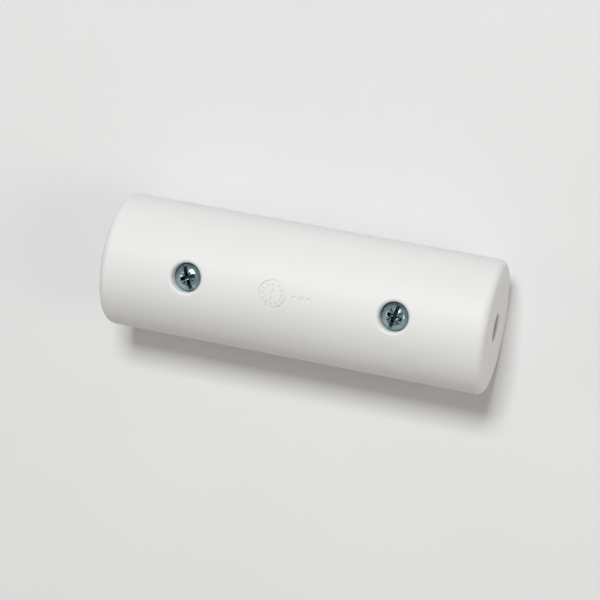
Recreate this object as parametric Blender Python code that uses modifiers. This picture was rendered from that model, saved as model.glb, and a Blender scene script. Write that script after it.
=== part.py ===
"""In-line cable connector: two white half shells closed round a three-way terminal block.

Metres, +Z up. The origin is the middle of the body, on the cable's axis. +X runs along the cable
and +Z along the two cover screws, so the shells part at z = 0 and the upper one lifts along +Z.
"""
import math

import bmesh
import bpy
from mathutils import Matrix

# Driving dimensions
BODY_LENGTH = 0.093
BODY_RADIUS = 0.016
WALL = 0.0022
END_WALL = 0.0026
END_ROUND = 0.0023
FIT_GAP = 0.0003            # clearance kept between pieces that touch
CORD_RADIUS = 0.0034        # cord entry and the way through the cord grip

COVER_SCREW_X = 0.025       # each cover screw's distance from the middle
COVER_SCREW_RADIUS = 0.0020
COVER_SCREW_LENGTH = 0.0245
COVER_HEAD_RADIUS = 0.0035
COVER_HEAD_HEIGHT = 0.0024
COVER_CROWN = 0.0014        # how much of the head's height is domed
COUNTERBORE_RADIUS = 0.0038
SEAT_Z = 0.0120             # where the counterbore stops
POST_RADIUS = 0.0054
POST_BORE_RADIUS = 0.00235
NUT_WIDTH = 0.0070          # across flats
NUT_HEIGHT = 0.0032
NUT_SEAT_Z = -0.0094

LIP_HEIGHT = 0.0014
LIP_THICKNESS = 0.0007
LIP_INSET = 0.0001          # the lip's inner face, outside the shell's inner wall

TERMINAL_PITCH = 0.0086
TERMINAL_COUNT = 3
TERMINAL_Z = -0.0030        # height of the terminal tubes' axes
TUBE_RADIUS = 0.0030
TUBE_BORE_RADIUS = 0.0019
TUBE_LENGTH = 0.022
BARREL_RADIUS = 0.0040
BLOCK_LENGTH = 0.026
BLOCK_LOW_Z = -0.0082       # underside of the terminal block
SLAB_TOP_Z = -0.0052        # top of the slab that joins its barrels
REST_X = 0.0090             # the ribs that the block rests on
TERMINAL_SCREW_X = 0.0060
TERMINAL_SCREW_RADIUS = 0.00145
TERMINAL_HEAD_RADIUS = 0.0019
TERMINAL_HEAD_HEIGHT = 0.0020
TERMINAL_HEAD_Z = 0.0016    # underside of the head, as delivered
TERMINAL_SHANK = 0.0048
CHIMNEY_RADIUS = 0.0030
CHIMNEY_TOP_Z = 0.0042

GRIP_X = 0.0360             # each cord grip's distance from the middle
GRIP_SCREW_Y = 0.0072
GRIP_SCREW_RADIUS = 0.0015
GRIP_SCREW_LENGTH = 0.0140
GRIP_HEAD_RADIUS = 0.0027
GRIP_HEAD_HEIGHT = 0.0019
GRIP_CROWN = 0.00095
PILLAR_RADIUS = 0.0034
PILLAR_TOP_Z = -0.0008
PILLAR_BORE_END_Z = -0.0110
BAR_LENGTH = 0.0200
BAR_WIDTH = 0.0060
BAR_LOW_Z = 0.0012
BAR_HEIGHT = 0.0036
BAR_ROUND = 0.0010
SADDLE_Z = -0.0024          # top of the ribs under the cord

RIB_THICKNESS = 0.0016
SLOT_SHARE = 1 / 7          # a driver slot's width, as a share of the head's width
SLOT_DEPTH_SHARE = 0.45     # its depth, as a share of the head's height
CROSS_SHARE = 0.5           # the cross recess's reach, as a share of the head's width
CROSS_DEPTH_SHARE = 0.65
TIP_SHARE = 2 / 3           # a screw tip's radius, as a share of its shank's
HEX_HALF_ANGLE = math.radians(30)
BODY_STEPS = 48
BORE_STEPS = 16
SCREW_STEPS = 14
FILLET_STEPS = 2
MERGE = 0.00001             # merge distance of every modifier that merges
BEYOND = 0.004              # how far a cutter runs past what it cuts

# Derived dimensions
HALF_LENGTH = BODY_LENGTH / 2
INNER_RADIUS = BODY_RADIUS - WALL
INNER_HALF = HALF_LENGTH - END_WALL
SEAM = FIT_GAP / 2


def clear_scene():
    for obj in list(bpy.data.objects):
        bpy.data.objects.remove(obj, do_unlink=True)


def collection(name):
    """A collection of this name, linked to the scene."""
    group = bpy.data.collections.new(name)
    bpy.context.scene.collection.children.link(group)
    return group


def finish(name, colour, roughness, metallic=0.0):
    """One surface finish, as a Principled material."""
    material = bpy.data.materials.new(name)
    material.use_nodes = True
    shader = material.node_tree.nodes["Principled BSDF"]
    shader.inputs["Base Color"].default_value = (*colour, 1.0)
    shader.inputs["Roughness"].default_value = roughness
    shader.inputs["Metallic"].default_value = metallic
    return material


def place(mesh, name, at=(0, 0, 0)):
    """An object for the mesh, with its origin at the given point, in the group of parts."""
    obj = bpy.data.objects.new(name, mesh)
    obj.location = at
    PARTS.objects.link(obj)
    return obj


def as_cutter(obj):
    """Moves an object into the cutters' group, which the build leaves out."""
    PARTS.objects.unlink(obj)
    CUTTERS.objects.link(obj)
    obj.hide_render = True
    obj.display_type = "WIRE"
    return obj


def mesh_from(name, build):
    """A mesh that the given function fills in a bmesh."""
    bm = bmesh.new()
    build(bm)
    mesh = bpy.data.meshes.new(name)
    bm.to_mesh(mesh)
    bm.free()
    return mesh


def add_box(bm, low, high):
    """Adds a box between two corners."""
    size = [h - l for l, h in zip(low, high)]
    middle = [(l + h) / 2 for l, h in zip(low, high)]
    bmesh.ops.create_cube(bm, size=1, matrix=Matrix.Translation(middle) @ Matrix.Diagonal((*size, 1)))


def add_upright(bm, x, y, low, high, radius, steps=BORE_STEPS):
    """Adds an upright cylinder between two heights."""
    bmesh.ops.create_cone(bm, cap_ends=True, segments=steps, radius1=radius, radius2=radius,
                          depth=high - low, matrix=Matrix.Translation((x, y, (low + high) / 2)))


def add_lying(bm, low, high, y, z, radius, steps=BORE_STEPS):
    """Adds a cylinder that lies along X between two ends."""
    turn = Matrix.Rotation(math.radians(90), 4, "Y")
    bmesh.ops.create_cone(bm, cap_ends=True, segments=steps, radius1=radius, radius2=radius,
                          depth=high - low, matrix=Matrix.Translation(((low + high) / 2, y, z)) @ turn)


def turned(name, profile, steps, at=(0, 0, 0)):
    """A solid turned round Z from (radius, height) points that run from its top to its bottom."""
    mesh = bpy.data.meshes.new(name)
    edges = [(i, i + 1) for i in range(len(profile) - 1)]
    mesh.from_pydata([(radius, 0, height) for radius, height in profile], edges, [])
    obj = place(mesh, name, at)
    spin = obj.modifiers.new("Turn", "SCREW")
    spin.steps = spin.render_steps = steps
    spin.use_merge_vertices = True
    spin.merge_threshold = MERGE
    return obj


def boolean(obj, cutter, operation="DIFFERENCE"):
    """Cuts one object with another, or joins them."""
    step = obj.modifiers.new(cutter.name, "BOOLEAN")
    step.operation = operation
    step.solver = "EXACT"
    step.object = cutter


def barrel(name, radius, half_length, fillet):
    """A round bar along X with rounded end edges."""
    corner = [(radius - fillet + fillet * math.sin(a), half_length - fillet + fillet * math.cos(a))
              for a in (math.pi / 2 * i / FILLET_STEPS for i in range(FILLET_STEPS + 1))]
    lower = [(r, -z) for r, z in reversed(corner)]
    obj = turned(name, [(0, half_length), *corner, *lower, (0, -half_length)], BODY_STEPS)
    obj.rotation_euler = (0, math.radians(90), 0)
    return obj


def round_shade(obj, angle=35):
    """Shades a round piece smooth and keeps its sharp edges sharp."""
    obj.data.shade_smooth()
    obj.data.set_sharp_from_angle(angle=math.radians(angle))


def empty(name):
    """The frame that the pieces of one half hang on."""
    obj = bpy.data.objects.new(name, None)
    PARTS.objects.link(obj)
    return obj


def settle(obj, material, frame):
    """Gives a finished piece its material and hangs it on its half's frame."""
    obj.data.materials.append(material)
    obj.parent = frame


def solid(name, build, at=(0, 0, 0)):
    """An object whose mesh the given function fills."""
    return place(mesh_from(name, build), name, at)


def cutter(name, build, at=(0, 0, 0)):
    """A cutter whose mesh the given function fills."""
    return as_cutter(solid(name, build, at))


# What the two halves share

def cover_posts(bm):
    """The two posts that the cover screws run through."""
    for x in (-COVER_SCREW_X, COVER_SCREW_X):
        add_upright(bm, x, 0, -BODY_RADIUS, BODY_RADIUS, POST_RADIUS, BODY_STEPS // 2)


def cord_way(bm):
    """The cord's way in at each end, which also grooves the saddle ribs."""
    near = COVER_SCREW_X + POST_RADIUS + FIT_GAP
    add_lying(bm, near, HALF_LENGTH + BEYOND, 0, 0, CORD_RADIUS)
    add_lying(bm, -HALF_LENGTH - BEYOND, -near, 0, 0, CORD_RADIUS)


def seam_frame(name, inner, outer, low, high):
    """A rectangular frame round the seam, from its half sizes in X and Y inside and outside."""
    frame = solid(name, lambda bm: add_box(bm, (-outer[0], -outer[1], low), (outer[0], outer[1], high)))
    middle = cutter(name + "_middle", lambda bm: add_box(bm, (-inner[0], -inner[1], low - BEYOND),
                                                         (inner[0], inner[1], high + BEYOND)))
    boolean(frame, middle)
    return as_cutter(frame)


def far_side(name, low, high):
    """A block over the half of the body that a shell doesn't fill."""
    reach = HALF_LENGTH + BEYOND
    return cutter(name, lambda bm: add_box(bm, (-reach, -BODY_RADIUS - BEYOND, low),
                                           (reach, BODY_RADIUS + BEYOND, high)))


# Lower shell

def grip_pillars(bm):
    """The four pillars that the cord grips' screws bite into."""
    for x in (-GRIP_X, GRIP_X):
        for y in (-GRIP_SCREW_Y, GRIP_SCREW_Y):
            add_upright(bm, x, y, -BODY_RADIUS, PILLAR_TOP_Z, PILLAR_RADIUS)


def grip_bores(bm):
    """Blind bores down the pillars."""
    for x in (-GRIP_X, GRIP_X):
        for y in (-GRIP_SCREW_Y, GRIP_SCREW_Y):
            add_upright(bm, x, y, PILLAR_BORE_END_Z, BEYOND, GRIP_SCREW_RADIUS + FIT_GAP, SCREW_STEPS)


def lower_ribs(bm):
    """Saddle ribs under the cord, and the rests and stops that hold the terminal block."""
    half = RIB_THICKNESS / 2
    for side in (-1, 1):
        for x in (GRIP_X - RIB_THICKNESS, GRIP_X + RIB_THICKNESS):
            add_box(bm, (side * x - half, -BODY_RADIUS, -BODY_RADIUS),
                    (side * x + half, BODY_RADIUS, SADDLE_Z))
        x = side * REST_X
        add_box(bm, (x - half, -BODY_RADIUS, -BODY_RADIUS), (x + half, BODY_RADIUS, BLOCK_LOW_Z - FIT_GAP))
        x = side * (BLOCK_LENGTH / 2 + FIT_GAP + half)
        for y in (-TERMINAL_PITCH / 2, TERMINAL_PITCH / 2):
            add_box(bm, (x - half, y - half, -BODY_RADIUS), (x + half, y + half, TERMINAL_Z))


def nut_pocket(name, x):
    """A six-sided pocket, open underneath, that keeps a nut from turning."""
    corner_radius = (NUT_WIDTH / 2 + FIT_GAP) / math.cos(HEX_HALF_ANGLE)
    return cutter(name, lambda bm: add_upright(bm, x, 0, -BODY_RADIUS - BEYOND, NUT_SEAT_Z, corner_radius, 6))


def lower_core():
    """The space inside the lower shell."""
    core = barrel("lower_core", INNER_RADIUS, INNER_HALF, RIB_THICKNESS / 2)
    boolean(core, cutter("lower_posts", cover_posts))
    boolean(core, cutter("grip_pillars", grip_pillars))
    boolean(core, cutter("lower_ribs", lower_ribs))
    return as_cutter(core)


def lower_shell():
    shell = barrel("lower_shell", BODY_RADIUS, HALF_LENGTH, END_ROUND)
    boolean(shell, lower_core())
    boolean(shell, far_side("lower_seam", -SEAM, BODY_RADIUS + BEYOND))
    lip = seam_frame("seam_lip", (INNER_HALF + LIP_INSET, INNER_RADIUS + LIP_INSET),
                     (INNER_HALF + LIP_INSET + LIP_THICKNESS, INNER_RADIUS + LIP_INSET + LIP_THICKNESS),
                     -LIP_HEIGHT, LIP_HEIGHT)
    boolean(shell, lip, "UNION")
    bores = cutter("lower_bores", lambda bm: [
        add_upright(bm, x, 0, -BODY_RADIUS, BEYOND, POST_BORE_RADIUS)
        for x in (-COVER_SCREW_X, COVER_SCREW_X)])
    boolean(shell, bores)
    boolean(shell, nut_pocket("nut_pocket_left", -COVER_SCREW_X))
    boolean(shell, nut_pocket("nut_pocket_right", COVER_SCREW_X))
    boolean(shell, cutter("grip_bores", grip_bores))
    boolean(shell, cutter("lower_cord_way", cord_way))
    settle(shell, SHELL, LOWER_HALF)


# Upper shell

def upper_core():
    """The space inside the upper shell, with a rib left across it that holds the terminal block down."""
    core = barrel("upper_core", INNER_RADIUS, INNER_HALF, RIB_THICKNESS / 2)
    boolean(core, cutter("upper_posts", cover_posts))
    half = RIB_THICKNESS / 2
    low = TERMINAL_Z + BARREL_RADIUS + FIT_GAP
    boolean(core, cutter("hold_down_rib", lambda bm: add_box(bm, (-half, -BODY_RADIUS, low),
                                                             (half, BODY_RADIUS, BODY_RADIUS))))
    return as_cutter(core)


def screw_way(name, x):
    """A counterbore for the screw head, and the clearance bore under it."""
    top = BODY_RADIUS + BEYOND
    profile = [(0, top), (COUNTERBORE_RADIUS, top), (COUNTERBORE_RADIUS, SEAT_Z),
               (POST_BORE_RADIUS, SEAT_Z), (POST_BORE_RADIUS, -BEYOND), (0, -BEYOND)]
    return as_cutter(turned(name, profile, BODY_STEPS // 2, (x, 0, 0)))


def upper_shell():
    shell = barrel("upper_shell", BODY_RADIUS, HALF_LENGTH, END_ROUND)
    boolean(shell, upper_core())
    boolean(shell, far_side("upper_seam", -BODY_RADIUS - BEYOND, SEAM))
    outset = LIP_INSET + LIP_THICKNESS + FIT_GAP
    rebate = seam_frame("seam_rebate", (INNER_HALF - FIT_GAP, INNER_RADIUS - FIT_GAP),
                        (INNER_HALF + outset, INNER_RADIUS + outset), -LIP_HEIGHT, LIP_HEIGHT + FIT_GAP)
    boolean(shell, rebate)
    boolean(shell, screw_way("screw_way_left", -COVER_SCREW_X))
    boolean(shell, screw_way("screw_way_right", COVER_SCREW_X))
    boolean(shell, cutter("upper_cord_way", cord_way))
    settle(shell, SHELL, UPPER_HALF)


# Screws and nuts

def screw(name, at, head_radius, head_height, crown, shank_radius, length, material, frame, cross=False):
    """A machine screw with its origin under its head: slotted, and crossed as well if asked."""
    dome = [(head_radius * math.sin(a), head_height - crown + crown * math.cos(a))
            for a in (math.pi / 2 * i / FILLET_STEPS for i in range(FILLET_STEPS + 1))]
    tip_radius = shank_radius * TIP_SHARE
    profile = [*dome, (head_radius, 0), (shank_radius, 0), (shank_radius, tip_radius / 2 - length),
               (tip_radius, -length), (0, -length)]
    obj = turned(name, profile, SCREW_STEPS, at)
    slot = head_radius * SLOT_SHARE
    slot_floor = head_height * (1 - SLOT_DEPTH_SHARE)
    across = solid(name + "_slot", lambda bm: add_box(bm, (-slot, -head_radius - BEYOND, slot_floor),
                                                      (slot, head_radius + BEYOND, head_height + BEYOND)), at)
    boolean(obj, as_cutter(across))
    if cross:
        arm = head_radius * CROSS_SHARE
        cross_floor = head_height * (1 - CROSS_DEPTH_SHARE)
        recess = solid(name + "_cross", lambda bm: add_box(bm, (-arm, -slot, cross_floor),
                                                           (arm, slot, head_height + BEYOND)), at)
        boolean(obj, as_cutter(recess))
    round_shade(obj)
    settle(obj, material, frame)


def cover_screws():
    for side, x in (("left", -COVER_SCREW_X), ("right", COVER_SCREW_X)):
        screw("cover_screw_" + side, (x, 0, SEAT_Z + FIT_GAP), COVER_HEAD_RADIUS, COVER_HEAD_HEIGHT,
              COVER_CROWN, COVER_SCREW_RADIUS, COVER_SCREW_LENGTH, BLUE_ZINC, UPPER_HALF, cross=True)


def cover_nuts():
    corner_radius = NUT_WIDTH / 2 / math.cos(HEX_HALF_ANGLE)
    bore = COVER_SCREW_RADIUS + FIT_GAP
    for side, x in (("left", -COVER_SCREW_X), ("right", COVER_SCREW_X)):
        at = (x, 0, NUT_SEAT_Z - FIT_GAP)
        nut = solid("cover_nut_" + side,
                    lambda bm: add_upright(bm, 0, 0, -NUT_HEIGHT, 0, corner_radius, 6), at)
        hole = cutter("nut_thread_" + side,
                      lambda bm: add_upright(bm, 0, 0, -NUT_HEIGHT - BEYOND, BEYOND, bore, SCREW_STEPS), at)
        boolean(nut, hole)
        settle(nut, PLAIN_ZINC, LOWER_HALF)


# Terminal block

def terminal_rows():
    """Each terminal's number and its place across the body."""
    return [(i + 1, (i - (TERMINAL_COUNT - 1) / 2) * TERMINAL_PITCH) for i in range(TERMINAL_COUNT)]


def terminal_body():
    half = BLOCK_LENGTH / 2
    width = TERMINAL_PITCH * (TERMINAL_COUNT - 1) / 2 + RIB_THICKNESS
    block = solid("terminal_body", lambda bm: add_box(bm, (-half, -width, BLOCK_LOW_Z),
                                                      (half, width, SLAB_TOP_Z)))
    barrels = cutter("terminal_barrels", lambda bm: [
        add_lying(bm, -half, half, y, TERMINAL_Z, BARREL_RADIUS) for _, y in terminal_rows()])
    chimneys = cutter("terminal_chimneys", lambda bm: [
        add_upright(bm, x, y, TERMINAL_Z, CHIMNEY_TOP_Z, CHIMNEY_RADIUS)
        for _, y in terminal_rows() for x in (-TERMINAL_SCREW_X, TERMINAL_SCREW_X)])
    bores = cutter("terminal_bores", lambda bm: [
        add_lying(bm, -half - BEYOND, half + BEYOND, y, TERMINAL_Z, TUBE_RADIUS + FIT_GAP)
        for _, y in terminal_rows()])
    shafts = cutter("terminal_shafts", lambda bm: [
        add_upright(bm, x, y, TERMINAL_Z, CHIMNEY_TOP_Z + BEYOND, TERMINAL_HEAD_RADIUS + FIT_GAP)
        for _, y in terminal_rows() for x in (-TERMINAL_SCREW_X, TERMINAL_SCREW_X)])
    boolean(block, barrels, "UNION")
    boolean(block, chimneys, "UNION")
    boolean(block, bores)
    boolean(block, shafts)
    settle(block, BLOCK, LOWER_HALF)


def terminal_tubes():
    half = TUBE_LENGTH / 2
    for number, y in terminal_rows():
        name = "terminal_tube_" + str(number)
        tube = solid(name, lambda bm: add_lying(bm, -half, half, 0, 0, TUBE_RADIUS), (0, y, TERMINAL_Z))
        bore = solid(name + "_bore", lambda bm: add_lying(bm, -half - BEYOND, half + BEYOND, 0, 0,
                                                          TUBE_BORE_RADIUS, SCREW_STEPS), (0, y, TERMINAL_Z))
        tapped = solid(name + "_tapped", lambda bm: [
            add_upright(bm, x, 0, 0, TUBE_RADIUS + BEYOND, TERMINAL_SCREW_RADIUS + FIT_GAP, SCREW_STEPS)
            for x in (-TERMINAL_SCREW_X, TERMINAL_SCREW_X)], (0, y, TERMINAL_Z))
        boolean(tube, as_cutter(bore))
        boolean(tube, as_cutter(tapped))
        round_shade(tube)
        settle(tube, BRASS, LOWER_HALF)


def terminal_screws():
    for number, y in terminal_rows():
        for side, x in (("left", -TERMINAL_SCREW_X), ("right", TERMINAL_SCREW_X)):
            screw("terminal_screw_" + str(number) + "_" + side, (x, y, TERMINAL_HEAD_Z),
                  TERMINAL_HEAD_RADIUS, TERMINAL_HEAD_HEIGHT, FIT_GAP, TERMINAL_SCREW_RADIUS,
                  TERMINAL_SHANK, PLAIN_ZINC, LOWER_HALF)


# Cord grips

def grip_bars():
    reach = BAR_LENGTH / 2
    half = BAR_WIDTH / 2
    for side, x in (("left", -GRIP_X), ("right", GRIP_X)):
        bar = solid("grip_bar_" + side, lambda bm: add_box(bm, (-half, -reach, 0), (half, reach, BAR_HEIGHT)),
                    (x, 0, BAR_LOW_Z))
        soften = bar.modifiers.new("Rounded ends", "BEVEL")
        soften.width = BAR_ROUND
        soften.segments = FILLET_STEPS
        arch = cutter("grip_arch_" + side,
                      lambda bm: add_lying(bm, -half - BEYOND, half + BEYOND, 0, 0, CORD_RADIUS), (x, 0, 0))
        holes = cutter("grip_holes_" + side, lambda bm: [
            add_upright(bm, 0, y, -BEYOND, BAR_HEIGHT + BEYOND, GRIP_SCREW_RADIUS + FIT_GAP, SCREW_STEPS)
            for y in (-GRIP_SCREW_Y, GRIP_SCREW_Y)], (x, 0, BAR_LOW_Z))
        boolean(bar, arch)
        boolean(bar, holes)
        settle(bar, NYLON, LOWER_HALF)


def grip_screws():
    head_z = BAR_LOW_Z + BAR_HEIGHT + FIT_GAP
    for side, x in (("left", -GRIP_X), ("right", GRIP_X)):
        for edge, y in (("front", -GRIP_SCREW_Y), ("back", GRIP_SCREW_Y)):
            screw("grip_screw_" + side + "_" + edge, (x, y, head_z), GRIP_HEAD_RADIUS, GRIP_HEAD_HEIGHT,
                  GRIP_CROWN, GRIP_SCREW_RADIUS, GRIP_SCREW_LENGTH, PLAIN_ZINC, LOWER_HALF)


clear_scene()
PARTS = collection("inline_cable_connector")
CUTTERS = collection("cutters")
SHELL = finish("shell_white_plastic", (0.86, 0.86, 0.85), 0.42)
BLUE_ZINC = finish("screw_blue_zinc", (0.42, 0.52, 0.56), 0.28, 1.0)
PLAIN_ZINC = finish("plain_zinc", (0.62, 0.64, 0.66), 0.35, 1.0)
BLOCK = finish("block_plastic", (0.80, 0.79, 0.74), 0.5)
BRASS = finish("terminal_brass", (0.78, 0.60, 0.30), 0.3, 1.0)
NYLON = finish("grip_plastic", (0.74, 0.74, 0.72), 0.5)
LOWER_HALF = empty("lower_half")
UPPER_HALF = empty("upper_half")

lower_shell()
upper_shell()
cover_screws()
cover_nuts()
terminal_body()
terminal_tubes()
terminal_screws()
grip_bars()
grip_screws()
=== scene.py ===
"""In-line cable connector, closed, lying on a pale table.

The pieces are made in the order in which the connector is put together: the lower shell with its
nuts, the terminal block, the cord grips, then the upper shell and its two screws. Metres, +Z up,
+X along the cable.
"""
import math

import bpy
from mathutils import Matrix, Vector


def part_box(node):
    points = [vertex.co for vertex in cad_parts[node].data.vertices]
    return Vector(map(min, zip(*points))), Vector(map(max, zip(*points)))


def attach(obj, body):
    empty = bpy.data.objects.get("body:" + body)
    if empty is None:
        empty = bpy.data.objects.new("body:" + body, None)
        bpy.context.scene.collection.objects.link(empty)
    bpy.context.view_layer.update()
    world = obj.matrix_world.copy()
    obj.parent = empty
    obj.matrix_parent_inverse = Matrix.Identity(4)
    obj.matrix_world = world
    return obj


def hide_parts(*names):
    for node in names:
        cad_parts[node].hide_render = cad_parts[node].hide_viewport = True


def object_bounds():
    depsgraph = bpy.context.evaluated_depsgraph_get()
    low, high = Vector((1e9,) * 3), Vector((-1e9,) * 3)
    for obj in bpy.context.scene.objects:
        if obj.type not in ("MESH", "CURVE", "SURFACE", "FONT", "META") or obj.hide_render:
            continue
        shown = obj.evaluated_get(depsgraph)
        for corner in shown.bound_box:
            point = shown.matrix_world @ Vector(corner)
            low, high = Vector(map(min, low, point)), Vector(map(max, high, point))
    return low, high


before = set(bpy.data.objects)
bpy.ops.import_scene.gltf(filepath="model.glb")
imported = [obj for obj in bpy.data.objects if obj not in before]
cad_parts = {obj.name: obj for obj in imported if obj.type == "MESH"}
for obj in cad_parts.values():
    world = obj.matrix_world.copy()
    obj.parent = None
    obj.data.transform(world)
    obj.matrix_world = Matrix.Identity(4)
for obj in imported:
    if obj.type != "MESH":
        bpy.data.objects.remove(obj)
cad_low, cad_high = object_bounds()
MM = 0.001


# Camera. A long lens held almost over the cover screws, rolled so that the body slopes down to the
# right, as it lies in front of the viewer.
VIEW_FROM = Vector((0.2264, 0.1224, 0.9663))
VIEW_UP = Vector((-0.1821, 0.9799, -0.0814))
VIEW_DISTANCE = 0.510
LENS = 128.8
AIM_RIGHT, AIM_UP = -1.11 * MM, -1.91 * MM

view_from = VIEW_FROM.normalized()
view_right = VIEW_UP.cross(view_from).normalized()
view_up = view_from.cross(view_right).normalized()
camera = bpy.data.objects.new("camera", bpy.data.cameras.new("camera"))
bpy.context.collection.objects.link(camera)
camera.data.lens = LENS
camera.data.sensor_width = 36.0
camera.data.clip_start = 0.01
camera.data.clip_end = 20.0
aim = (cad_low + cad_high) / 2 + view_right * AIM_RIGHT + view_up * AIM_UP
turn = Matrix((view_right, view_up, view_from)).transposed().to_4x4()
camera.matrix_world = Matrix.Translation(aim + view_from * VIEW_DISTANCE) @ turn
bpy.context.scene.camera = camera


# Lower shell. Injection-moulded white plastic: half a round bar with rounded ends, hollowed by a
# core that leaves the screw posts, the grip pillars, the saddle ribs and the rests for the block.
# A thin lip stands up all round its rim and the upper shell closes over it.
HALF_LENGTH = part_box("lower_shell")[1].x
RADIUS = cad_high.z
WALL = 2.2 * MM
END_WALL = 2.6 * MM
END_ROUND = 2.0 * MM
SEAM = 0.03 * MM
SEAM_ROUND = 0.14 * MM
SEAM_SLACK = SEAM / 100
FIT_GAP = 0.3 * MM
INNER_RADIUS = RADIUS - WALL
INNER_HALF = HALF_LENGTH - END_WALL
CORE_ROUND = 0.8 * MM
CORD_RADIUS = 3.4 * MM
MOUTH_ROUND = 0.45 * MM
MOUTH_STEPS = 5
RIB_EDGE = 0.25 * MM
SCREW_X = sum(corner.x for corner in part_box("cover_screw_right")) / 2
POST_RADIUS = 5.4 * MM
POST_BORE = 2.35 * MM
NUT_SEAT_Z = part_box("cover_nut_right")[1].z + FIT_GAP
POCKET_RADIUS = 4.39 * MM
POCKET_CORNER = 0.3 * MM
POCKET_RIM = 0.2 * MM
POCKET_SLACK = 0.05 * MM
RIM_WELD = 0.1 * MM
GRIP_X = sum(corner.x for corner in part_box("grip_bar_right")) / 2
GRIP_Y = sum(corner.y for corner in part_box("grip_screw_right_back")) / 2
PILLAR_RADIUS = 3.4 * MM
PILLAR_TOP = -0.8 * MM
PILLAR_BORE = 1.8 * MM
PILLAR_BORE_END = -11.0 * MM
RIB = 1.6 * MM
SADDLE_TOP = -2.4 * MM
STOP_EDGE = 0.2 * MM
BLOCK_LOW, BLOCK_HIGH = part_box("terminal_body")
BLOCK_HALF = BLOCK_HIGH.x
PITCH = sum(corner.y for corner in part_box("terminal_tube_3")) / 2
TUBE_Z = sum(corner.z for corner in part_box("terminal_tube_2")) / 2
REST_X = 9.0 * MM
LIP_INSET = 0.1 * MM
LIP_THICKNESS = 0.7 * MM
LIP_HEIGHT = 1.4 * MM
LIP_EDGE = 0.12 * MM
BEYOND = 3 * MM
SHELL_STEPS = 192
SIDES = (("left", -1), ("right", 1))


def named(name):
    """Names the piece just added and puts its place and size into its mesh."""
    piece = bpy.context.object
    piece.name = name
    piece.data.name = name
    bpy.ops.object.transform_apply(location=True, rotation=True, scale=True)
    return piece


def add_bar(name, radius, low, high, y=0.0, z=0.0, steps=64):
    """A round bar along X."""
    bpy.ops.object.select_all(action="DESELECT")
    bpy.ops.mesh.primitive_cylinder_add(vertices=steps, radius=radius, depth=high - low,
                                        location=((low + high) / 2, y, z), rotation=(0, math.pi / 2, 0))
    return named(name)


def add_post(name, radius, x, y, low, high, steps=64):
    """An upright round post."""
    bpy.ops.object.select_all(action="DESELECT")
    bpy.ops.mesh.primitive_cylinder_add(vertices=steps, radius=radius, depth=high - low,
                                        location=(x, y, (low + high) / 2))
    return named(name)


def add_block(name, low, high):
    """A block between two corners."""
    bpy.ops.object.select_all(action="DESELECT")
    middle = [(a + b) / 2 for a, b in zip(low, high)]
    bpy.ops.mesh.primitive_cube_add(size=1, location=middle, scale=[b - a for a, b in zip(low, high)])
    return named(name)


def cut(piece, tool, operation="DIFFERENCE"):
    """Cuts a piece with a tool, or joins the two, and throws the tool away."""
    step = piece.modifiers.new("cut", "BOOLEAN")
    step.object = tool
    step.operation = operation
    bpy.context.view_layer.objects.active = piece
    bpy.ops.object.modifier_apply(modifier=step.name)
    bpy.data.objects.remove(tool)


def edit(piece, chosen, kind="EDGE"):
    """Opens a piece for editing with only the edges or faces selected that pass a test."""
    bpy.ops.object.select_all(action="DESELECT")
    bpy.context.view_layer.objects.active = piece
    piece.select_set(True)
    bpy.ops.object.mode_set(mode="EDIT")
    bpy.ops.mesh.select_mode(type=kind)
    bpy.ops.mesh.select_all(action="DESELECT")
    bpy.ops.object.mode_set(mode="OBJECT")
    mesh = piece.data
    if kind == "EDGE":
        for edge in mesh.edges:
            edge.select = chosen(*(mesh.vertices[i].co for i in edge.vertices))
    else:
        for face in mesh.polygons:
            face.select = chosen(face.center, face.normal)
    bpy.ops.object.mode_set(mode="EDIT")


def soften(piece, chosen, width, steps=2, clamp=True):
    """Rounds over the edges that pass a test."""
    edit(piece, chosen)
    bpy.ops.mesh.bevel(offset=width, segments=steps, affect="EDGES", clamp_overlap=clamp)
    bpy.ops.object.mode_set(mode="OBJECT")
    return piece


def near(value, target, slack=0.01 * MM):
    """True where two lengths are the same, give or take a little."""
    return abs(value - target) < slack


def level(z):
    """Tests for edges that lie at one height."""
    return lambda a, b: near(a.z, z) and near(b.z, z)


def at_ends(x):
    """Tests for edges round the two ends of a bar that reaches x both ways."""
    return lambda a, b: near(abs(a.x), x) and near(a.x, b.x)


def upright(a, b):
    """Tests for edges that stand straight up."""
    return near(a.x, b.x) and near(a.y, b.y)


def soften_pocket_rim(piece, x):
    """Rounds over the rim where the nut pocket at x breaks through the round underside."""
    def on_rim(a, b):
        return all(near(math.hypot(p.y, p.z), RADIUS) and p.z < 0
                   and math.hypot(p.x - x, p.y) < POCKET_RADIUS + POCKET_SLACK for p in (a, b))
    edit(piece, on_rim)
    bpy.ops.mesh.remove_doubles(threshold=RIM_WELD)
    bpy.ops.object.mode_set(mode="OBJECT")
    soften(piece, on_rim, POCKET_RIM, steps=4, clamp=False)


def shell_half(name, sign):
    """Half of the round bar, above or below the seam, with its rounded ends and eased seam edge."""
    bar = add_bar(name, RADIUS, -HALF_LENGTH, HALF_LENGTH, steps=SHELL_STEPS)
    soften(bar, at_ends(HALF_LENGTH), END_ROUND, steps=10)
    edit(bar, lambda centre, normal: True, "FACE")
    bpy.ops.mesh.bisect(plane_co=(0, 0, sign * SEAM), plane_no=(0, 0, sign), use_fill=True,
                        clear_inner=True, threshold=SEAM_SLACK)
    bpy.ops.object.mode_set(mode="OBJECT")
    return soften(bar, level(sign * SEAM), SEAM_ROUND)


def shell_core(name, keep):
    """The core that hollows a shell: the inner space, less the shapes that it leaves standing."""
    core = add_bar(name, INNER_RADIUS, -INNER_HALF, INNER_HALF, steps=SHELL_STEPS)
    soften(core, at_ends(INNER_HALF), CORE_ROUND, steps=4)
    for shape in keep:
        cut(core, shape)
    return core


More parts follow.
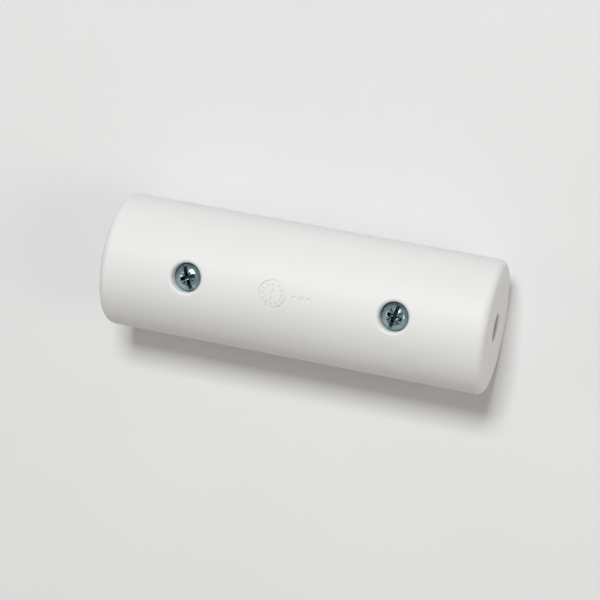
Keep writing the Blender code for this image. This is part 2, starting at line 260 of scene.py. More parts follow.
def seam_frame(name, inset, thickness, height):
    """A rectangular frame round the seam, with rounded corners and a softened top edge."""
    outer, inner = [(INNER_HALF + out, INNER_RADIUS + out) for out in (inset + thickness, inset)]
    frame_block = add_block(name, (-outer[0], -outer[1], -LIP_HEIGHT), (outer[0], outer[1], height))
    opening = add_block(name + "_opening", (-inner[0], -inner[1], -BEYOND), (inner[0], inner[1], BEYOND))
    for block, corner in ((frame_block, CORE_ROUND + thickness), (opening, CORE_ROUND)):
        soften(block, upright, corner, steps=6)
    cut(frame_block, opening)
    return soften(frame_block, level(height), LIP_EDGE)


def cord_entry(sign):
    """The cord's way in, with a rounded mouth in the end wall."""
    start = sign * (SCREW_X + POST_RADIUS + FIT_GAP)
    end = sign * (HALF_LENGTH - MOUTH_ROUND)
    way = add_bar("cord_way", CORD_RADIUS, min(start, end), max(start, end), steps=96)
    edit(way, lambda centre, normal: normal.x * sign > 0.9, "FACE")
    radius, reach = CORD_RADIUS, 0.0
    for step in range(1, MOUTH_STEPS + 1):
        angle = math.pi / 2 * step / MOUTH_STEPS
        next_reach = MOUTH_ROUND * math.sin(angle)
        next_radius = CORD_RADIUS + MOUTH_ROUND * (1 - math.cos(angle))
        step_out = (sign * (next_reach - reach), 0, 0)
        bpy.ops.mesh.extrude_region_move(TRANSFORM_OT_translate={"value": step_out})
        wider = next_radius / radius
        bpy.ops.transform.resize(value=(1, wider, wider), center_override=(end, 0, 0))
        radius, reach = next_radius, next_reach
    bpy.ops.mesh.extrude_region_move(TRANSFORM_OT_translate={"value": (sign * BEYOND, 0, 0)})
    bpy.ops.object.mode_set(mode="OBJECT")
    return way


def finish(piece, material, degrees=32):
    """Gives a piece its material, and smooth shading that keeps corners crisp and flat faces flat."""
    bpy.ops.object.select_all(action="DESELECT")
    bpy.context.view_layer.objects.active = piece
    piece.select_set(True)
    bpy.ops.object.shade_smooth_by_angle(angle=math.radians(degrees))
    step = piece.modifiers.new("normals", "WEIGHTED_NORMAL")
    step.keep_sharp = True
    bpy.ops.object.modifier_apply(modifier=step.name)
    piece.data.materials.clear()
    piece.data.materials.append(material)


def node(material, kind, inputs, output=0, **settings):
    """Adds a shader node; an input is given as a number, a colour or another node's output."""
    made = material.node_tree.nodes.new("ShaderNode" + kind)
    for key, value in settings.items():
        setattr(made, key, value)
    connect(material, made, inputs)
    return made.outputs[output]


def connect(material, made, inputs):
    """Sets or links the inputs of a shader node."""
    for key, value in inputs.items():
        if isinstance(value, bpy.types.NodeSocket):
            material.node_tree.links.new(value, made.inputs[key])
        else:
            made.inputs[key].default_value = value


def new_finish(name, numbers):
    """A finish whose plain numbers are set on its shader."""
    material = bpy.data.materials.new(name)
    material.use_nodes = True
    connect(material, material.node_tree.nodes["Principled BSDF"], numbers)
    return material


def mottle(material, scale, detail=2.0, stretch=(1.0, 1.0, 1.0), shift=0.0):
    """Noise that is fixed to the piece, with so many features to the metre."""
    where = node(material, "TexCoord", {}, "Object")
    moved = {"Vector": where, "Location": (shift, shift, shift), "Scale": stretch}
    where = node(material, "Mapping", moved)
    return node(material, "TexNoise", {"Vector": where, "Scale": scale, "Detail": detail})


def between(material, value, low, high, start=0.35, end=0.65):
    """A value stretched over a range."""
    return node(material, "MapRange", {"Value": value, "From Min": start, "From Max": end,
                                       "To Min": low, "To Max": high})


def mixed(material, amount, first, second):
    """Two colours mixed by an amount."""
    return node(material, "Mix", {0: amount, 6: first, 7: second}, 2, data_type="RGBA")


def dress(material, colour, roughness, reliefs):
    """Puts a colour, a roughness and layers of relief, each (height, depth), on a finish."""
    shader = material.node_tree.nodes["Principled BSDF"]
    connect(material, shader, {"Base Color": colour, "Roughness": roughness})
    under = {}
    for height, depth in reliefs:
        under = {"Normal": node(material, "Bump", {"Height": height, "Distance": depth, **under})}
    connect(material, shader, under)
    return material


def moulded_plastic(name, light, dark, gloss, depth_glow):
    """Moulded plastic: a fine spark-eroded grain, slow flow marks and a few handling scuffs."""
    material = new_finish(name, {"Subsurface Weight": depth_glow, "Subsurface Radius": (1.0, 0.9, 0.8),
                                 "Subsurface Scale": 1.5 * MM, "Specular IOR Level": 0.4})
    flow = mottle(material, scale=45, detail=3.0, stretch=(0.4, 1.0, 1.0))
    specks = mottle(material, scale=1400, shift=0.3)
    scuffs = mottle(material, scale=420, detail=6.0, stretch=(0.16, 1.0, 1.0), shift=0.7)
    scuffs = between(material, scuffs, 0.0, 1.0, start=0.62, end=0.74)
    colour = mixed(material, between(material, flow, 0.0, 1.0), (*dark, 1.0), (*light, 1.0))
    colour = mixed(material, between(material, specks, 0.0, 0.12), colour, (*dark, 1.0))
    dulled = between(material, scuffs, 0.0, 0.30, start=0.0, end=1.0)
    colour = mixed(material, dulled, colour, (*dark, 1.0))
    smooth = between(material, flow, gloss, gloss + 0.07)
    rubbed = between(material, scuffs, 0.0, 0.12, start=0.0, end=1.0)
    roughness = node(material, "Math", {0: smooth, 1: rubbed}, operation="ADD")
    grain = mottle(material, scale=3600, shift=0.9)
    return dress(material, colour, roughness, [(flow, 0.02 * MM), (grain, 0.0022 * MM)])


shell_plastic = moulded_plastic("shell_plastic", light=(0.80, 0.80, 0.79), dark=(0.77, 0.77, 0.76),
                                gloss=0.50, depth_glow=0.10)


def screw_posts():
    """The two posts that the cover screws run through."""
    return [add_post("post", POST_RADIUS, sign * SCREW_X, 0, -RADIUS, RADIUS, steps=96) for _, sign in SIDES]


def cross_rib(name, x, top):
    """A rib right across the shell, up to one height, with a rounded top edge."""
    rib = add_block(name, (x - RIB / 2, -RADIUS, -RADIUS), (x + RIB / 2, RADIUS, top))
    return soften(rib, level(top), RIB_EDGE, steps=3)


shapes = screw_posts()
for _, sign in SIDES:
    for y in (-GRIP_Y, GRIP_Y):
        pillar = add_post("pillar", PILLAR_RADIUS, sign * GRIP_X, y, -RADIUS, PILLAR_TOP)
        shapes.append(soften(pillar, level(PILLAR_TOP), RIB_EDGE, steps=3))
    for x in (GRIP_X - RIB, GRIP_X + RIB):
        shapes.append(cross_rib("saddle", sign * x, SADDLE_TOP))
    shapes.append(cross_rib("rest", sign * REST_X, BLOCK_LOW.z - FIT_GAP))
    for y in (-PITCH / 2, PITCH / 2):
        x = sign * (BLOCK_HALF + FIT_GAP + RIB / 2)
        stop = add_block("stop", (x - RIB / 2, y - RIB / 2, -RADIUS), (x + RIB / 2, y + RIB / 2, TUBE_Z))
        shapes.append(soften(stop, lambda a, b: a.z > -RADIUS / 2 or b.z > -RADIUS / 2, STOP_EDGE))

lower = shell_half("moulded_lower_shell", -1)
cut(lower, shell_core("lower_core", shapes))
cut(lower, seam_frame("lip", LIP_INSET, LIP_THICKNESS, LIP_HEIGHT), "UNION")
for _, sign in SIDES:
    cut(lower, cord_entry(sign))
    cut(lower, add_post("post_bore", POST_BORE, sign * SCREW_X, 0, -RADIUS, BEYOND))
    pocket = add_post("nut_pocket", POCKET_RADIUS, sign * SCREW_X, 0, -RADIUS - BEYOND, NUT_SEAT_Z, steps=6)
    cut(lower, soften(pocket, upright, POCKET_CORNER, steps=3))
    soften_pocket_rim(lower, sign * SCREW_X)
    for y in (-GRIP_Y, GRIP_Y):
        cut(lower, add_post("pillar_bore", PILLAR_BORE, sign * GRIP_X, y, PILLAR_BORE_END,
                            PILLAR_TOP + BEYOND, steps=48))
finish(lower, shell_plastic)
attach(lower, "lower_half")
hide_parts("lower_shell")


# Cover nuts. Cold-formed hexagon nuts, zinc plated, dropped into the pockets under the posts, where
# the six flats keep them from turning. Both faces are chamfered and the bore is countersunk.
NUT_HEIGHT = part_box("cover_nut_right")[1].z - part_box("cover_nut_right")[0].z
NUT_CORNER = 4.04 * MM
NUT_CHAMFER = 0.32 * MM
NUT_CHAMFER_WIDTH = 1.7 * NUT_CHAMFER
THREAD_CREST = 2.0 * MM
NUT_BORE = THREAD_CREST + 0.08 * MM
NUT_SINK = THREAD_CREST + 0.35 * MM
SINK_ABOVE, SINK_BELOW = 0.165 * MM, 0.3 * MM


def turned(name, outline, steps=64):
    """A piece turned round Z from (radius, height) points that start and end on its axis."""
    bpy.ops.object.select_all(action="DESELECT")
    bpy.ops.mesh.primitive_plane_add(size=MM)
    bpy.ops.object.mode_set(mode="EDIT")
    bpy.ops.mesh.select_mode(type="VERT")
    bpy.ops.mesh.merge(type="CENTER")
    bpy.ops.transform.translate(value=(outline[0][0], 0, outline[0][1]))
    for (radius, height), (next_radius, next_height) in zip(outline, outline[1:]):
        step = (next_radius - radius, 0, next_height - height)
        bpy.ops.mesh.extrude_region_move(TRANSFORM_OT_translate={"value": step})
    bpy.ops.mesh.select_all(action="SELECT")
    bpy.ops.mesh.spin(steps=steps, angle=math.tau, center=(0, 0, 0), axis=(0, 0, 1))
    bpy.ops.mesh.select_all(action="SELECT")
    bpy.ops.mesh.remove_doubles(threshold=0.002 * MM)
    bpy.ops.mesh.normals_make_consistent(inside=False)
    bpy.ops.object.mode_set(mode="OBJECT")
    return named(name)


def copy_of(piece, name, at, turn=0.0):
    """A copy with its own mesh, turned about Z and moved to its place in the body."""
    bpy.ops.object.select_all(action="DESELECT")
    bpy.context.view_layer.objects.active = piece
    piece.select_set(True)
    bpy.ops.object.duplicate()
    bpy.context.object.location = at
    bpy.context.object.rotation_euler = (0, 0, turn)
    return named(name)


def plated_metal(name, light, dark, stain, gloss, dome=None):
    """Plated metal: cloudy plating, stains, tool marks, and painted shade darkening what is sunk into a
    dome.
    """
    material = new_finish(name, {"Metallic": 1.0})
    cloud = mottle(material, scale=500, detail=3.0)
    spots = mottle(material, scale=1500, detail=4.0, shift=0.4)
    marks = mottle(material, scale=2600, detail=3.0, stretch=(1.0, 0.12, 1.0), shift=0.8)
    colour = mixed(material, between(material, cloud, 0.0, 1.0), (*dark, 1.0), (*light, 1.0))
    stained = between(material, spots, 0.0, 0.6, start=0.55, end=0.75)
    colour = mixed(material, stained, colour, (*stain, 1.0))
    if dome:
        # Painted shade: a dark colour mixed in below the dome's surface, in place of the shade inside the
        # recess.
        centre, radii, painted_shade = dome
        where = node(material, "TexCoord", {}, "Object")
        where = node(material, "VectorMath", {0: where}, operation="ABSOLUTE")
        where = node(material, "Mapping", {"Vector": where, "Scale": [1 / radius for radius in radii],
                                           "Location": [-at / radius for at, radius in zip(centre, radii)]})
        sunk = node(material, "VectorMath", {0: where}, "Value", operation="LENGTH")
        depth = between(material, sunk, 0.88, 0.0, start=0.82, end=0.97)
        colour = mixed(material, depth, colour, (*painted_shade, 1.0))
    roughness = between(material, spots, gloss, gloss + 0.14)
    return dress(material, colour, roughness, [(cloud, 0.010 * MM), (marks, 0.004 * MM)])


plain_zinc = plated_metal("plain_zinc", light=(0.62, 0.63, 0.62), dark=(0.46, 0.47, 0.46),
                          stain=(0.30, 0.29, 0.24), gloss=0.26)

nut = add_post("nut", NUT_CORNER, 0, 0, -NUT_HEIGHT, 0, steps=6)
slope = NUT_CORNER - NUT_CHAMFER_WIDTH
cut(nut, turned("nut_chamfer", [
    (0, 0), (slope, 0), (NUT_CORNER, -NUT_CHAMFER), (NUT_CORNER, NUT_CHAMFER - NUT_HEIGHT),
    (slope, -NUT_HEIGHT), (0, -NUT_HEIGHT)]), "INTERSECT")
cut(nut, turned("nut_bore", [
    (0, BEYOND), (NUT_SINK, BEYOND), (NUT_SINK, 0), (NUT_BORE, -SINK_ABOVE),
    (NUT_BORE, SINK_BELOW - NUT_HEIGHT), (NUT_SINK, -NUT_HEIGHT), (NUT_SINK, -NUT_HEIGHT - BEYOND),
    (0, -NUT_HEIGHT - BEYOND)], steps=48))
finish(nut, plain_zinc)
for side, sign in SIDES:
    placed = copy_of(nut, "hex_nut_" + side, (sign * SCREW_X, 0, NUT_SEAT_Z - FIT_GAP))
    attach(placed, "lower_half")
    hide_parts("cover_nut_" + side)
bpy.data.objects.remove(nut)


# Terminal block. One moulding in milky nylon: three barrels on a slab, with two chimneys on each
# barrel that guard the heads of the clamping screws. Thin webs tie the chimneys together.
BARREL_RADIUS = 4.0 * MM
BARREL_EDGE = 0.35 * MM
SLAB_TOP = -5.2 * MM
SLAB_HALF_WIDTH = PITCH + RIB
SLAB_EDGE = 0.4 * MM
CHIMNEY_RADIUS = 3.0 * MM
CHIMNEY_BORE = 2.2 * MM
CHIMNEY_EDGE = 0.22 * MM
CLAMP_X = sum(corner.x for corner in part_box("terminal_screw_2_right")) / 2
TUBE_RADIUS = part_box("terminal_tube_2")[1].z - TUBE_Z
TUBE_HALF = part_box("terminal_tube_2")[1].x
TUBE_WAY = TUBE_RADIUS + 0.12 * MM
WEB = 1.1 * MM
WEB_TOP = 2.6 * MM
ROWS = (-PITCH, 0.0, PITCH)

milky_nylon = moulded_plastic("milky_nylon", light=(0.76, 0.75, 0.70), dark=(0.70, 0.69, 0.63),
                              gloss=0.34, depth_glow=0.30)

block = add_block("terminal_block", (-BLOCK_HALF, -SLAB_HALF_WIDTH, BLOCK_LOW.z),
                  (BLOCK_HALF, SLAB_HALF_WIDTH, SLAB_TOP))
soften(block, at_ends(BLOCK_HALF), SLAB_EDGE, steps=3)
for y in ROWS:
    barrel = add_bar("barrel", BARREL_RADIUS, -BLOCK_HALF, BLOCK_HALF, y, TUBE_Z, steps=72)
    cut(block, soften(barrel, at_ends(BLOCK_HALF), BARREL_EDGE, steps=3), "UNION")
for _, sign in SIDES:
    x = sign * CLAMP_X
    web = add_block("web", (x - WEB / 2, -PITCH, TUBE_Z), (x + WEB / 2, PITCH, WEB_TOP))
    cut(block, soften(web, level(WEB_TOP), RIB_EDGE, steps=3), "UNION")
    for y in ROWS:
        chimney = add_post("chimney", CHIMNEY_RADIUS, x, y, TUBE_Z, BLOCK_HIGH.z)
        cut(block, soften(chimney, level(BLOCK_HIGH.z), CHIMNEY_EDGE, steps=3), "UNION")
for y in ROWS:
    cut(block, add_bar("tube_way", TUBE_WAY, -BLOCK_HALF - BEYOND, BLOCK_HALF + BEYOND, y, TUBE_Z, steps=72))
    for _, sign in SIDES:
        cut(block, add_post("way_in", CHIMNEY_BORE, sign * CLAMP_X, y, TUBE_Z,
                            BLOCK_HIGH.z + BEYOND, steps=56))
finish(block, milky_nylon)
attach(block, "lower_half")
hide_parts("terminal_body")


# Terminal tubes. Three drawn brass tubes, one in each barrel, cross-drilled and tapped for two
# screws each. The bores are countersunk at both ends so that a conductor slides in.
TUBE_BORE = 1.9 * MM
TUBE_SINK = TUBE_BORE + 0.35 * MM
TUBE_SINK_DEPTH = 0.5 * MM
TUBE_EDGE = 0.2 * MM
TAPPED = 1.6 * MM


def drawn_brass(name, light, dark, stain):
    """Brass drawn along its length: fine lines along X, dull spots and a warm tarnish."""
    material = new_finish(name, {"Metallic": 1.0})
    lines = mottle(material, scale=900, detail=4.0, stretch=(0.05, 1.0, 1.0))
    tarnish = mottle(material, scale=260, detail=4.0, shift=0.6)
    spots = mottle(material, scale=900, detail=5.0, shift=0.2)
    colour = mixed(material, between(material, tarnish, 0.0, 1.0), (*dark, 1.0), (*light, 1.0))
    stained = between(material, spots, 0.0, 0.55, start=0.56, end=0.72)
    colour = mixed(material, stained, colour, (*stain, 1.0))
    roughness = between(material, lines, 0.20, 0.36)
    return dress(material, colour, roughness, [(lines, 0.012 * MM)])


brass = drawn_brass("terminal_brass", light=(0.80, 0.60, 0.28), dark=(0.66, 0.47, 0.19),
                    stain=(0.36, 0.22, 0.09))

tube = add_bar("tube", TUBE_RADIUS, -TUBE_HALF, TUBE_HALF, 0, 0, steps=72)
soften(tube, at_ends(TUBE_HALF), TUBE_EDGE)
way = turned("tube_bore", [
    (0, TUBE_HALF + BEYOND), (TUBE_SINK, TUBE_HALF + BEYOND), (TUBE_SINK, TUBE_HALF),
    (TUBE_BORE, TUBE_HALF - TUBE_SINK_DEPTH), (TUBE_BORE, TUBE_SINK_DEPTH - TUBE_HALF),
    (TUBE_SINK, -TUBE_HALF), (TUBE_SINK, -TUBE_HALF - BEYOND), (0, -TUBE_HALF - BEYOND)])
way.rotation_euler = (0, math.pi / 2, 0)
cut(tube, way)
for _, sign in SIDES:
    cut(tube, add_post("tapped_hole", TAPPED, sign * CLAMP_X, 0, 0, TUBE_RADIUS + BEYOND, steps=40))
finish(tube, brass)
for number, y in enumerate(ROWS, 1):
    placed = copy_of(tube, "brass_tube_" + str(number), (0, y, TUBE_Z))
    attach(placed, "lower_half")
    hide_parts("terminal_tube_" + str(number))
bpy.data.objects.remove(tube)


# Terminal screws. Six slotted cheese-head screws in plated steel, two to a tube. Each turns down
# into its tube and clamps a conductor against the far side of the bore.
CLAMP_LOW, CLAMP_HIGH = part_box("terminal_screw_2_right")
CLAMP_HEAD_RADIUS = 1.88 * MM
CLAMP_HEAD_HEIGHT = 2.0 * MM
CLAMP_CREST = 1.45 * MM
CLAMP_PITCH = 0.5 * MM
CLAMP_ROOT = CLAMP_CREST - 0.55 * CLAMP_PITCH
CLAMP_POINT = 0.5 * MM
CLAMP_SLOT_HALF = 0.28 * MM
CLAMP_SLOT_DEPTH = 0.85 * MM
ROW_TURN, SIDE_TURN = 37, 64
THREAD_STEPS = 24
THREAD_SHARE = 0.88
THREAD_BURIED = 0.06 * MM


def wind_thread(screw, crest, root, pitch, top, tip):
    """Winds a helical ridge round a shank, from near its tip up to a height."""
    half = pitch * THREAD_SHARE / 2
    inside = root - THREAD_BURIED
    bpy.ops.object.select_all(action="DESELECT")
    bpy.ops.mesh.primitive_plane_add(size=MM)
    bpy.ops.object.mode_set(mode="EDIT")
    bpy.ops.mesh.select_mode(type="VERT")
    bpy.ops.mesh.merge(type="CENTER")
    bpy.ops.transform.translate(value=(inside, 0, tip - half))
    for step in ((crest - inside, half), (inside - crest, half)):
        bpy.ops.mesh.extrude_region_move(TRANSFORM_OT_translate={"value": (step[0], 0, step[1])})
    bpy.ops.mesh.select_all(action="SELECT")
    bpy.ops.mesh.edge_face_add()
    bpy.ops.mesh.delete(type="ONLY_FACE")
    bpy.ops.object.mode_set(mode="OBJECT")
    ridge = named("ridge")
    wind = ridge.modifiers.new("wind", "SCREW")
    wind.steps = wind.render_steps = THREAD_STEPS
    wind.screw_offset = pitch
    wind.iterations = int((top - tip) / pitch)
    bpy.ops.object.modifier_apply(modifier=wind.name)
    edit(ridge, lambda centre, normal: True, "FACE")
    bpy.ops.mesh.fill_holes(sides=3)
    bpy.ops.mesh.select_all(action="SELECT")
    bpy.ops.mesh.normals_make_consistent(inside=False)
    bpy.ops.object.mode_set(mode="OBJECT")
    cut(screw, ridge, "UNION")


def driver_slot(name, half, depth, head_height, reach):
    """The block that cuts a straight slot across the middle of a head."""
    return add_block(name, (-half, -reach, head_height - depth), (half, reach, BEYOND))


clamp_tip = CLAMP_LOW.z - (CLAMP_HIGH.z - CLAMP_HEAD_HEIGHT)
clamp = turned("clamp_screw", [
    (0, CLAMP_HEAD_HEIGHT - 0.02 * MM), (1.35 * MM, CLAMP_HEAD_HEIGHT - 0.03 * MM),
    (1.72 * MM, CLAMP_HEAD_HEIGHT - 0.12 * MM), (CLAMP_HEAD_RADIUS, CLAMP_HEAD_HEIGHT - 0.34 * MM),
    (CLAMP_HEAD_RADIUS, 0.12 * MM), (CLAMP_HEAD_RADIUS - 0.12 * MM, 0), (CLAMP_ROOT + 0.15 * MM, 0),
    (CLAMP_ROOT, -0.2 * MM), (CLAMP_ROOT, clamp_tip + CLAMP_POINT), (CLAMP_ROOT - 0.4 * MM, clamp_tip),
    (0, clamp_tip)], steps=56)
wind_thread(clamp, CLAMP_CREST, CLAMP_ROOT, CLAMP_PITCH, top=-0.3 * MM, tip=clamp_tip + CLAMP_POINT)
cut(clamp, driver_slot("clamp_slot", CLAMP_SLOT_HALF, CLAMP_SLOT_DEPTH, CLAMP_HEAD_HEIGHT, BEYOND))
finish(clamp, plain_zinc)
for number, y in enumerate(ROWS, 1):
    for side, sign in SIDES:
        name = str(number) + "_" + side
        placed = copy_of(clamp, "clamp_screw_" + name, (sign * CLAMP_X, y, CLAMP_HIGH.z - CLAMP_HEAD_HEIGHT),
                         math.radians(ROW_TURN * number + SIDE_TURN * sign))
        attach(placed, "terminal_screw_" + name)
        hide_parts("terminal_screw_" + name)
bpy.data.objects.remove(clamp)


# Cord grips. Two moulded nylon bars, one at each end, arched over the cord with three small ridges
# that bite into its sheath. Each is drawn down onto its pillars by two screws.
BAR_LOW, BAR_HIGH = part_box("grip_bar_right")
BAR_HALF = (BAR_HIGH.x - BAR_LOW.x) / 2
BAR_CORNER = 0.8 * BAR_HALF
BAR_EDGE = 0.5 * MM
RIDGE = 0.3 * MM
RIDGE_SPACING = 1.9 * MM
HOLE_SINK = 0.3 * MM

grip_nylon = moulded_plastic("grip_nylon", light=(0.70, 0.70, 0.68), dark=(0.64, 0.64, 0.62),
                             gloss=0.38, depth_glow=0.12)

bar = add_block("grip", (-BAR_HALF, BAR_LOW.y, BAR_LOW.z), (BAR_HALF, BAR_HIGH.y, BAR_HIGH.z))
soften(bar, upright, BAR_CORNER, steps=8)
soften(bar, level(BAR_HIGH.z), BAR_EDGE, steps=4)
arch = [(0, BAR_HALF + BEYOND), (CORD_RADIUS, BAR_HALF + BEYOND)]
for x in (RIDGE_SPACING, 0.0, -RIDGE_SPACING):
    arch += [(CORD_RADIUS, x + RIDGE), (CORD_RADIUS - RIDGE, x), (CORD_RADIUS, x - RIDGE)]
arch += [(CORD_RADIUS, -BAR_HALF - BEYOND), (0, -BAR_HALF - BEYOND)]
groove = turned("arch", arch, steps=96)
groove.rotation_euler = (0, math.pi / 2, 0)
cut(bar, groove)
for y in (-GRIP_Y, GRIP_Y):
    hole = turned("hole", [
        (0, BEYOND), (PILLAR_BORE + HOLE_SINK, BEYOND), (PILLAR_BORE + HOLE_SINK, 0),
        (PILLAR_BORE, -HOLE_SINK), (PILLAR_BORE, -2 * BEYOND), (0, -2 * BEYOND)], steps=48)
    hole.location = (0, y, BAR_HIGH.z)
    cut(bar, hole)
finish(bar, grip_nylon)
for side, sign in SIDES:
    placed = copy_of(bar, "cord_grip_" + side, (sign * GRIP_X, 0, 0))
    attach(placed, side + "_grip_bar")
    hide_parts("grip_bar_" + side)
bpy.data.objects.remove(bar)


# Grip screws. Four slotted pan-head tapping screws in plated steel, with a coarse thread that cuts
# its own way down the plain bores of the pillars.
TAP_LOW, TAP_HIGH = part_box("grip_screw_right_back")
TAP_HEAD_RADIUS = 2.68 * MM
TAP_HEAD_HEIGHT = 1.9 * MM
TAP_CREST = 1.5 * MM
TAP_ROOT = 1.12 * MM
TAP_PITCH = 1.05 * MM
TAP_POINT = 2.4 * MM
TAP_SLOT_HALF = 0.36 * MM
TAP_SLOT_DEPTH = 0.9 * MM
TAP_TURNS = (("front", -GRIP_Y, 25), ("back", GRIP_Y, 110))
TAP_SIDE_TURN = 40
CROWN_STEPS = 9


def crown(radius, height, drop, squareness):
    """The outline of a domed head, from its middle out to its side."""
    points = []
    for step in range(CROWN_STEPS + 1):
        angle = math.pi / 2 * step / CROWN_STEPS
        across = math.sin(angle) ** (2 / squareness)
        fall = 1 - math.cos(angle) ** (2 / squareness)
        points.append((radius * across, height - drop * fall))
    return points


tap_tip = TAP_LOW.z - (TAP_HIGH.z - TAP_HEAD_HEIGHT)
tap = turned("tap_screw", [
    *crown(TAP_HEAD_RADIUS, TAP_HEAD_HEIGHT, drop=1.2 * MM, squareness=2.6),
    (TAP_HEAD_RADIUS, 0.15 * MM), (TAP_HEAD_RADIUS - 0.15 * MM, 0),
    (TAP_ROOT + 0.25 * MM, 0), (TAP_ROOT, -0.35 * MM),
    (TAP_ROOT, tap_tip + TAP_POINT), (0.75 * MM, tap_tip + 0.5 * MM), (0.5 * MM, tap_tip),
    (0, tap_tip)], steps=64)
wind_thread(tap, TAP_CREST, TAP_ROOT, TAP_PITCH, top=-0.9 * MM, tip=tap_tip + TAP_POINT - 0.1 * MM)
cut(tap, driver_slot("tap_slot", TAP_SLOT_HALF, TAP_SLOT_DEPTH, TAP_HEAD_HEIGHT, BEYOND))
finish(tap, plain_zinc)
for side, sign in SIDES:
    for edge, y, turn in TAP_TURNS:
        name = side + "_" + edge
        placed = copy_of(tap, "tapping_screw_" + name, (sign * GRIP_X, y, TAP_HIGH.z - TAP_HEAD_HEIGHT),
                         math.radians(turn + TAP_SIDE_TURN * sign))
        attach(placed, name + "_grip_screw")
        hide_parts("grip_screw_" + name)
bpy.data.objects.remove(tap)


# Upper shell. The same white plastic and the same round outside, closed down over the lip. Two
# counterbored posts take the cover screws, a rib inside holds the terminal block down, and a
# moulder's dial and three plain dots are sunk a quarter of a millimetre into the outside.
COUNTERBORE = 3.50 * MM
SEAT_CORNER = 0.2 * MM
RIM_ROUND = 0.95 * MM
RIM_STEPS = 10
RIM_END = math.radians(76)
RIM_RUN = 0.6 * MM
COVER_HEAD_HEIGHT = 2.4 * MM
SEAT_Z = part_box("cover_screw_right")[1].z - COVER_HEAD_HEIGHT - FIT_GAP
DIAL_X = -3.85 * MM
DIAL_DEPTH = 0.25 * MM
DIAL_RADIUS = 3.4 * MM
DIAL_LINE = 0.42 * MM
DIAL_TICKS = 12
TICK_START, TICK_END = 2.05 * MM, 2.6 * MM
TICK_HALF = 0.15 * MM
POINTER_RADIUS = 0.9 * MM
POINTER_Y = 0.3 * MM
STEM_HALF = 0.2 * MM
STEM_END = -1.4 * MM
DOTS = (1.5 * MM, 3.2 * MM, 4.9 * MM)
DOT_RADIUS = 0.62 * MM


def screw_way(sign):
    """A counterbore over the clearance bore, flared at its mouth to follow the round outside."""
    flare = []
    for step in range(RIM_STEPS + 1):
        angle = RIM_END * step / RIM_STEPS
        flare.append((COUNTERBORE + RIM_ROUND * (1 - math.cos(angle)),
                      RADIUS - RIM_ROUND * (1 - math.sin(angle))))
    mouth, top = flare[-1]
    mouth += RIM_RUN * math.sin(RIM_END)
    top += RIM_RUN * math.cos(RIM_END)
    way = turned("screw_way", [
        (0, RADIUS + BEYOND), (mouth, RADIUS + BEYOND), (mouth, top), *reversed(flare),
        (COUNTERBORE, SEAT_Z + SEAT_CORNER), (COUNTERBORE - SEAT_CORNER, SEAT_Z),
        (POST_BORE, SEAT_Z), (POST_BORE, -BEYOND), (0, -BEYOND)], steps=128)
    for vertex in way.data.vertices:
        if vertex.co.z > SEAT_Z + MM:
            vertex.co.z += math.sqrt(RADIUS ** 2 - vertex.co.y ** 2) - RADIUS
    way.location.x = sign * SCREW_X
    return way


def dial_tool():
    """Ring, ticks, pointer and dots, whose undersides follow the round outside."""
    top = RADIUS + BEYOND
    ring = add_post("ring", DIAL_RADIUS, DIAL_X, 0, 0, top, steps=96)
    cut(ring, add_post("ring_middle", DIAL_RADIUS - DIAL_LINE, DIAL_X, 0, -BEYOND, top + BEYOND, steps=96))
    for tick in range(DIAL_TICKS):
        mark = add_block("tick", (TICK_START, -TICK_HALF, 0), (TICK_END, TICK_HALF, top))
        mark.rotation_euler = (0, 0, math.tau * tick / DIAL_TICKS)
        mark.location.x = DIAL_X
        cut(ring, mark, "UNION")
    cut(ring, add_post("pointer", POINTER_RADIUS, DIAL_X, POINTER_Y, 0, top, steps=3), "UNION")
    stem = add_block("stem", (DIAL_X - STEM_HALF, STEM_END, 0), (DIAL_X + STEM_HALF, POINTER_Y, top))
    cut(ring, stem, "UNION")
    for x in DOTS:
        cut(ring, add_post("dot", DOT_RADIUS, x, 0, 0, top, steps=32), "UNION")
    cut(ring, add_bar("dial_floor", RADIUS - DIAL_DEPTH, -HALF_LENGTH, HALF_LENGTH, steps=SHELL_STEPS))
    return ring


hold = TUBE_Z + BARREL_RADIUS + FIT_GAP
hold_down = add_block("hold_down", (-RIB / 2, -RADIUS, hold), (RIB / 2, RADIUS, RADIUS))
shapes = [*screw_posts(), soften(hold_down, level(hold), RIB_EDGE, steps=3)]
upper = shell_half("moulded_upper_shell", 1)
cut(upper, shell_core("upper_core", shapes))
cut(upper, seam_frame("rebate", -FIT_GAP, LIP_THICKNESS + LIP_INSET + 2 * FIT_GAP, LIP_HEIGHT + FIT_GAP))
for _, sign in SIDES:
    cut(upper, cord_entry(sign))
    cut(upper, screw_way(sign))
cut(upper, dial_tool())
finish(upper, shell_plastic)
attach(upper, "upper_half")
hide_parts("upper_shell")


# Cover screws. Two long steel machine screws, blue zinc plated, that run down through the posts
# into the nuts. Their pan heads carry a slot and a cross recess, as the last driver left them.
COVER_LOW, COVER_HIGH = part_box("cover_screw_right")
COVER_HEAD_RADIUS = 3.28 * MM
COVER_CROWN = 1.75 * MM
COVER_PITCH = 0.7 * MM
COVER_ROOT = THREAD_CREST - 0.6 * COVER_PITCH
COVER_SHANK = THREAD_CREST - 0.1 * MM
COVER_POINT = 0.6 * MM
SLOT_HALF = 0.46 * MM
SLOT_DEPTH = 1.15 * MM
ARM_REACH = 1.95 * MM
ARM_TAPER = 0.6
CORE_HALF = 0.78 * MM
CORE_TAPER = 0.7
RECESS_DEPTH = 2.0 * MM
NICK_START, NICK_END = 1.0 * MM, 2.0 * MM
NICK_HALF = 0.15 * MM
NICK_DEPTH = 0.75 * MM
SLOT_ANGLES = {"left": 23.9, "right": -13.7}

